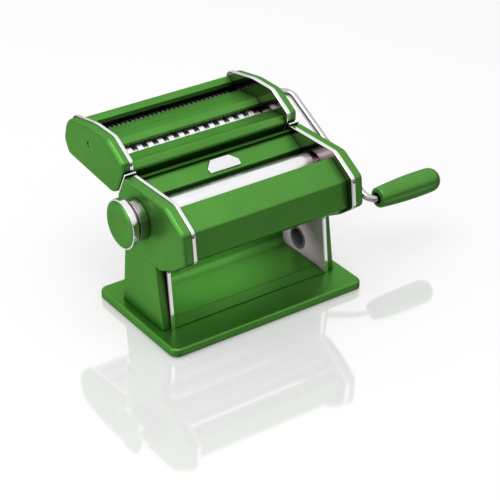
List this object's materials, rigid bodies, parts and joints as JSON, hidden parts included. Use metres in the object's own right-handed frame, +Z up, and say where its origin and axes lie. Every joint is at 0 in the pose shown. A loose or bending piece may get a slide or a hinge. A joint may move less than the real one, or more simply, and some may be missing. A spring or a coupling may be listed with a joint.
{
  "type": "pasta roller machine",
  "caption": "Hand-cranked pasta machine: adjustable smooth rollers, thickness knob, lift-off cutter unit with wide and fine cutters, side crank with spinning grip, plate base on rubber feet.",
  "frame": {"origin": "middle of the base's footprint on the table, under the rubber feet", "axes": "+Z up, +Y to the rear (cutter side), +X to the crank side"},
  "size_m": [0.3244, 0.1934, 0.1554],
  "materials": {
    "green_metal": "satin apple green, anodised look",
    "bright_steel": "polished plate",
    "zinc_steel": "plain zinc-plated steel",
    "roller_aluminium": "fine turned, satin",
    "gear_steel": "sintered steel",
    "bearing_bronze": "sintered bronze",
    "comb_plastic": "moulded, plain",
    "green_grip": "satin lacquer, same green as the body",
    "black_rubber": "matte"
  },
  "bodies": {
    "housing": {"base_plate": "green_metal", "rubber_feet": "black_rubber", "foot_bars": "zinc_steel", "base_screws": "zinc_steel", "frame_plate_left": "bright_steel", "frame_plate_right": "bright_steel", "side_cover_left": "green_metal", "side_cover_right": "green_metal", "tie_rods": "zinc_steel", "tie_rod_screws": "zinc_steel", "clamp_sleeves": "bright_steel", "rear_bushes": "bearing_bronze", "feed_panel": "green_metal", "feed_badge": "bright_steel", "front_panel": "green_metal", "rear_panel": "green_metal", "chute": "green_metal", "scraper_rear": "zinc_steel", "index_ring": "bright_steel", "knob_bush": "bearing_bronze", "cutter_rails": "bright_steel"},
    "roller_carriage": {"bearing_block_left": "zinc_steel", "bearing_block_right": "zinc_steel", "follower_pin": "zinc_steel", "carriage_bar": "zinc_steel", "scraper_front": "zinc_steel"},
    "front_roller": {"front_roller": "roller_aluminium", "front_gear": "gear_steel"},
    "rear_roller": {"rear_roller": "roller_aluminium", "rear_gear": "gear_steel"},
    "knob_shaft": {"knob_spindle": "zinc_steel", "scroll_cam": "gear_steel"},
    "knob": {"knob_rim": "bright_steel", "knob_cap": "green_metal", "detent_pins": "zinc_steel", "knob_spring": "zinc_steel"},
    "cutter_unit": {"cutter_frame_left": "bright_steel", "cutter_frame_right": "bright_steel", "cutter_cover_left": "green_metal", "cutter_cover_right": "green_metal", "cutter_cover_screws": "zinc_steel", "cutter_front_panel": "green_metal", "cutter_middle_panel": "green_metal", "cutter_rear_panel": "green_metal", "cutter_tie_rods": "zinc_steel", "cutter_rod_screws": "zinc_steel", "cutter_bushes": "bearing_bronze", "wide_combs": "comb_plastic", "fine_combs": "comb_plastic"},
    "wide_front": {"wide_cutter_front": "roller_aluminium", "wide_gear_front": "gear_steel"},
    "wide_rear": {"wide_cutter_rear": "roller_aluminium", "wide_gear_rear": "gear_steel"},
    "fine_front": {"fine_cutter_front": "roller_aluminium", "fine_gear_front": "gear_steel"},
    "fine_rear": {"fine_cutter_rear": "roller_aluminium", "fine_gear_rear": "gear_steel"},
    "crank": {"crank_rod": "bright_steel"},
    "grip": {"crank_grip": "green_grip"}
  },
  "joints": [
    {"name": "cutter_lift", "type": "slide", "parent": "housing", "child": "cutter_unit", "axis": [0, 0, 1], "range_m": [0, 0.045]},
    {"name": "rear_roller_spin", "type": "hinge", "parent": "housing", "child": "rear_roller", "pos_m": [0, 0.0195, 0.1056], "axis": [1, 0, 0], "continuous": true},
    {"name": "roller_gap", "type": "slide", "parent": "housing", "child": "roller_carriage", "axis": [0, 1, 0], "range_m": [0, 0.0027]},
    {"name": "front_roller_spin", "type": "hinge", "parent": "roller_carriage", "child": "front_roller", "pos_m": [0, -0.0084, 0.1056], "axis": [1, 0, 0], "continuous": true},
    {"name": "knob_turn", "type": "hinge", "parent": "housing", "child": "knob_shaft", "pos_m": [0, -0.0009, 0.1042], "axis": [1, 0, 0], "range_deg": [0, 324]},
    {"name": "knob_pull", "type": "slide", "parent": "knob_shaft", "child": "knob", "axis": [-1, 0, 0], "range_m": [0, 0.004], "stiffness_N_per_m": 1500, "springref_m": -0.002, "deforming": ["knob_spring"]},
    {"name": "wide_rear_spin", "type": "hinge", "parent": "cutter_unit", "child": "wide_rear", "pos_m": [0, 0.0685, 0.1205], "axis": [1, 0, 0], "continuous": true},
    {"name": "wide_front_spin", "type": "hinge", "parent": "cutter_unit", "child": "wide_front", "pos_m": [0, 0.0499, 0.1205], "axis": [1, 0, 0], "continuous": true},
    {"name": "fine_front_spin", "type": "hinge", "parent": "cutter_unit", "child": "fine_front", "pos_m": [0, 0.0974, 0.1235], "axis": [1, 0, 0], "continuous": true},
    {"name": "fine_rear_spin", "type": "hinge", "parent": "cutter_unit", "child": "fine_rear", "pos_m": [0, 0.1118, 0.1235], "axis": [1, 0, 0], "continuous": true},
    {"name": "crank_pull", "type": "slide", "parent": "fine_front", "child": "crank", "axis": [1, 0, 0], "range_m": [0, 0.03]},
    {"name": "grip_spin", "type": "hinge", "parent": "crank", "child": "grip", "pos_m": [0.17, -0.02315, 0.05967], "axis": [1, 0, 0], "continuous": true}
  ],
  "couplings": [
    {"joint": "front_roller_spin", "follows": "rear_roller_spin", "ratio": -1},
    {"joint": "knob_turn", "follows": "roller_gap", "rad_per_m": 2094.4},
    {"joint": "wide_front_spin", "follows": "wide_rear_spin", "ratio": -1},
    {"joint": "fine_rear_spin", "follows": "fine_front_spin", "ratio": -1}
  ]
}
